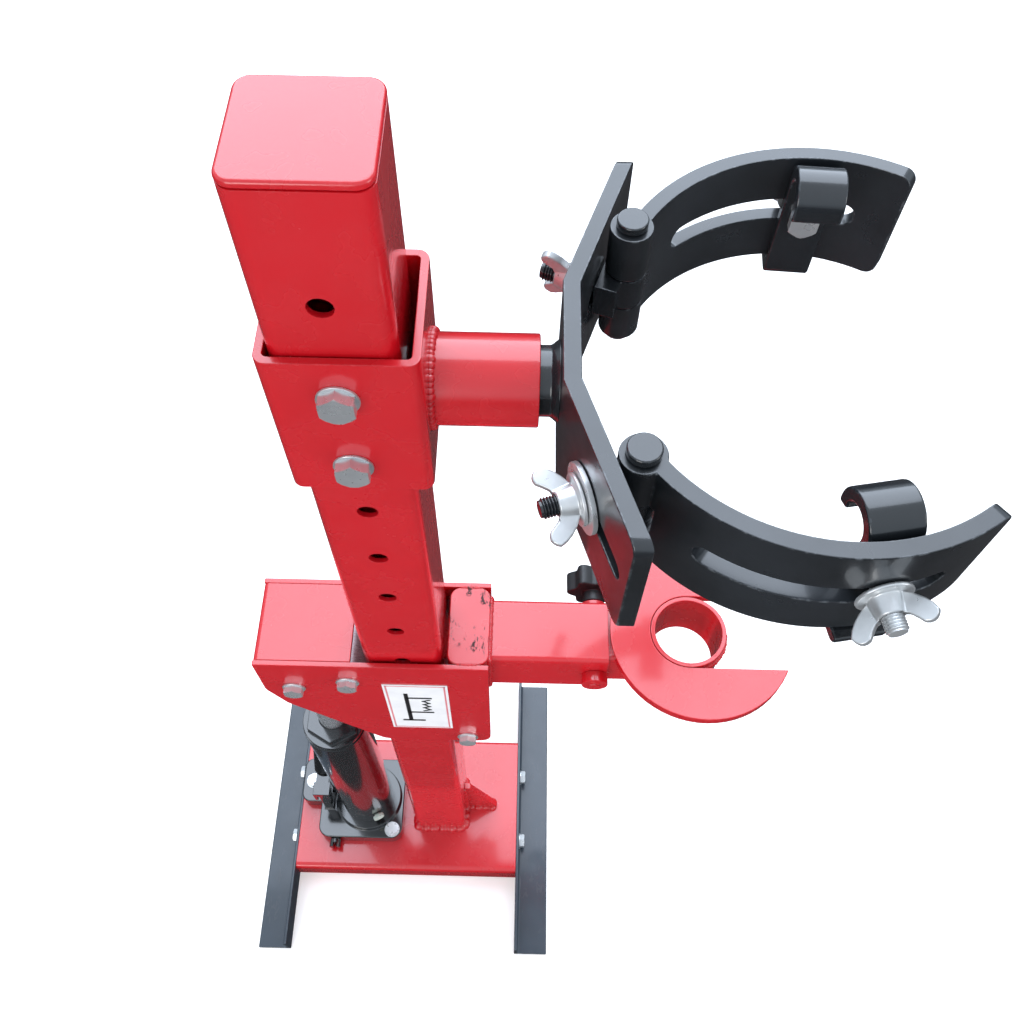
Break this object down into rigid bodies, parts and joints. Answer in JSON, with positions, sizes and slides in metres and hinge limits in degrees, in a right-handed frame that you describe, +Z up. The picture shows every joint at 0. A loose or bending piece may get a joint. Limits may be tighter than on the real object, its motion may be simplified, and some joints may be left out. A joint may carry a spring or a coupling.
{
  "type": "hydraulic strut coil spring compressor",
  "caption": "Floor-standing strut spring compressor: column, jack-lifted carriage with saddle ring, swivelling yoke with hinged slotted arms and hook jaws",
  "frame": {"origin": "On the floor plane, in the middle of the bounding box seen from above.", "axes": "+Z up, +X from the column towards the free ends of the arms, -Y towards the front."},
  "size_m": [0.5916, 0.39, 1.232],
  "materials": {
    "red_powder_coat": "gloss powder coat",
    "black_powder_coat": "gloss powder coat",
    "slate_coat": "semi gloss coat",
    "zinc_plate": "bright zinc plating",
    "bare_steel": "ground",
    "black_plastic": "moulded, fine grain",
    "label_film": "printed film"
  },
  "bodies": {
    "pivot_rear": {"pivot_block_rear": "black_powder_coat", "hinge_pin_rear": "black_powder_coat", "pivot_washer_rear": "zinc_plate"},
    "pivot_nut_rear": {"pivot_wing_nut_rear": "zinc_plate"},
    "arm_rear": {"arm_rear": "black_powder_coat"},
    "jaw_rear": {"jaw_rear": "black_powder_coat", "jaw_bolt_rear": "zinc_plate"},
    "jaw_nut_rear": {"jaw_wing_nut_rear": "zinc_plate"},
    "pivot_front": {"pivot_block_front": "black_powder_coat", "hinge_pin_front": "black_powder_coat", "pivot_washer_front": "zinc_plate"},
    "pivot_nut_front": {"pivot_wing_nut_front": "zinc_plate"},
    "arm_front": {"arm_front": "black_powder_coat"},
    "jaw_front": {"jaw_front": "black_powder_coat", "jaw_bolt_front": "zinc_plate"},
    "jaw_nut_front": {"jaw_wing_nut_front": "zinc_plate"},
    "carriage": {"carriage_front_plate": "red_powder_coat", "carriage_rear_plate": "red_powder_coat", "carriage_cover": "red_powder_coat", "carriage_end_block": "red_powder_coat", "arm_tube": "red_powder_coat", "upper_roller_bolt": "zinc_plate", "lower_roller_bolt": "zinc_plate", "ram_pin_bolt": "zinc_plate", "label_plate": "label_film", "lock_nut": "red_powder_coat", "jack_ram": "bare_steel", "ram_head": "black_powder_coat"},
    "upper_roller": {"upper_roller": "bare_steel"},
    "lower_roller": {"lower_roller": "bare_steel"},
    "extension": {"extension_tube": "red_powder_coat", "saddle_plate": "red_powder_coat", "saddle_ring": "red_powder_coat"},
    "knob": {"clamp_knob": "black_plastic"},
    "lever": {"handle_socket": "black_powder_coat"},
    "plunger": {"pump_plunger": "bare_steel"},
    "valve": {"release_valve": "black_powder_coat"},
    "yoke": {"yoke_shaft": "black_powder_coat", "yoke_bar": "black_powder_coat"},
    "frame": {"base_channel": "red_powder_coat", "right_foot": "slate_coat", "left_foot": "slate_coat", "foot_bolt_left_front": "zinc_plate", "foot_bolt_left_rear": "zinc_plate", "foot_bolt_right_front": "zinc_plate", "foot_bolt_right_rear": "zinc_plate", "column": "red_powder_coat", "column_cap": "red_powder_coat", "column_gusset": "red_powder_coat", "upper_sleeve": "red_powder_coat", "boss_tube": "red_powder_coat", "sleeve_bolt_upper": "zinc_plate", "sleeve_bolt_lower": "zinc_plate", "jack_base": "black_powder_coat", "jack_reservoir": "black_powder_coat", "jack_cylinder": "bare_steel", "jack_gland_nut": "black_powder_coat", "filler_plug": "zinc_plate", "jack_bolt_front": "zinc_plate", "jack_bolt_rear": "zinc_plate"}
  },
  "joints": [
    {"name": "carriage_lift", "type": "slide", "parent": "frame", "child": "carriage", "axis": [0, 0, 1], "range_m": [-0.18, 0.12]},
    {"name": "upper_roller_spin", "type": "hinge", "parent": "carriage", "child": "upper_roller", "pos_m": [-0.10017, 0, 0.657], "axis": [0, 1, 0], "range_deg": [-640, 440]},
    {"name": "lower_roller_spin", "type": "hinge", "parent": "carriage", "child": "lower_roller", "pos_m": [0.00463, 0, 0.504], "axis": [0, 1, 0], "range_deg": [-440, 640]},
    {"name": "extension_slide", "type": "slide", "parent": "carriage", "child": "extension", "axis": [1, 0, 0], "range_m": [0, 0.06]},
    {"name": "clamp_knob_turn", "type": "hinge", "parent": "carriage", "child": "knob", "pos_m": [0.12417, 0.05, 0.657], "axis": [0, 1, 0], "range_deg": [0, 1080]},
    {"name": "handle_lift", "type": "hinge", "parent": "frame", "child": "lever", "pos_m": [-0.20677, -0.01, 0.13], "axis": [1, 0, 0], "range_deg": [-15, 25]},
    {"name": "plunger_stroke", "type": "slide", "parent": "frame", "child": "plunger", "axis": [0, 0, 1], "range_m": [-0.0095, 0.0155]},
    {"name": "release_valve_turn", "type": "hinge", "parent": "frame", "child": "valve", "pos_m": [-0.19577, -0.056, 0.054], "axis": [0, 1, 0], "range_deg": [0, 720]},
    {"name": "yoke_swivel", "type": "hinge", "parent": "frame", "child": "yoke", "pos_m": [0.05223, 0, 1.055], "axis": [1, 0, 0], "continuous": true},
    {"name": "pivot_slide_rear", "type": "slide", "parent": "yoke", "child": "pivot_rear", "axis": [0.3173, 0.9483, 0], "range_m": [-0.012, 0.036]},
    {"name": "pivot_nut_turn_rear", "type": "hinge", "parent": "pivot_rear", "child": "pivot_nut_rear", "pos_m": [0.08733, 0.07862, 1.055], "axis": [-0.9483, 0.3173, 0], "range_deg": [0, 1080]},
    {"name": "arm_swing_rear", "type": "hinge", "parent": "pivot_rear", "child": "arm_rear", "pos_m": [0.11342, 0.07938, 1.055], "axis": [0, 0, 1], "range_deg": [-25, 26]},
    {"name": "jaw_shift_rear", "type": "hinge", "parent": "arm_rear", "child": "jaw_rear", "pos_m": [0.22369, 0.02512, 1.06], "axis": [0, 0, 1], "range_deg": [-10, 28]},
    {"name": "jaw_nut_turn_rear", "type": "hinge", "parent": "jaw_rear", "child": "jaw_nut_rear", "pos_m": [0.22369, 0.02512, 1.06], "axis": [0.061, 0.9981, 0], "range_deg": [0, 1080]},
    {"name": "pivot_slide_front", "type": "slide", "parent": "yoke", "child": "pivot_front", "axis": [0.3173, -0.9483, 0], "range_m": [-0.012, 0.036]},
    {"name": "pivot_nut_turn_front", "type": "hinge", "parent": "pivot_front", "child": "pivot_nut_front", "pos_m": [0.08733, -0.07862, 1.055], "axis": [-0.9483, -0.3173, 0], "range_deg": [0, 1080]},
    {"name": "arm_swing_front", "type": "hinge", "parent": "pivot_front", "child": "arm_front", "pos_m": [0.11342, -0.07938, 1.055], "axis": [0, 0, 1], "range_deg": [-30, 22]},
    {"name": "jaw_shift_front", "type": "hinge", "parent": "arm_front", "child": "jaw_front", "pos_m": [0.21626, -0.01209, 1.06], "axis": [0, 0, 1], "range_deg": [-28, 10]},
    {"name": "jaw_nut_turn_front", "type": "hinge", "parent": "jaw_front", "child": "jaw_nut_front", "pos_m": [0.21626, -0.01209, 1.06], "axis": [0.1822, -0.9833, 0], "range_deg": [0, 1080]}
  ],
  "couplings": [
    {"joint": "upper_roller_spin", "follows": "carriage_lift", "rad_per_m": 58.824},
    {"joint": "lower_roller_spin", "follows": "carriage_lift", "rad_per_m": -58.824},
    {"joint": "plunger_stroke", "follows": "handle_lift", "m_per_rad": 0.034}
  ]
}
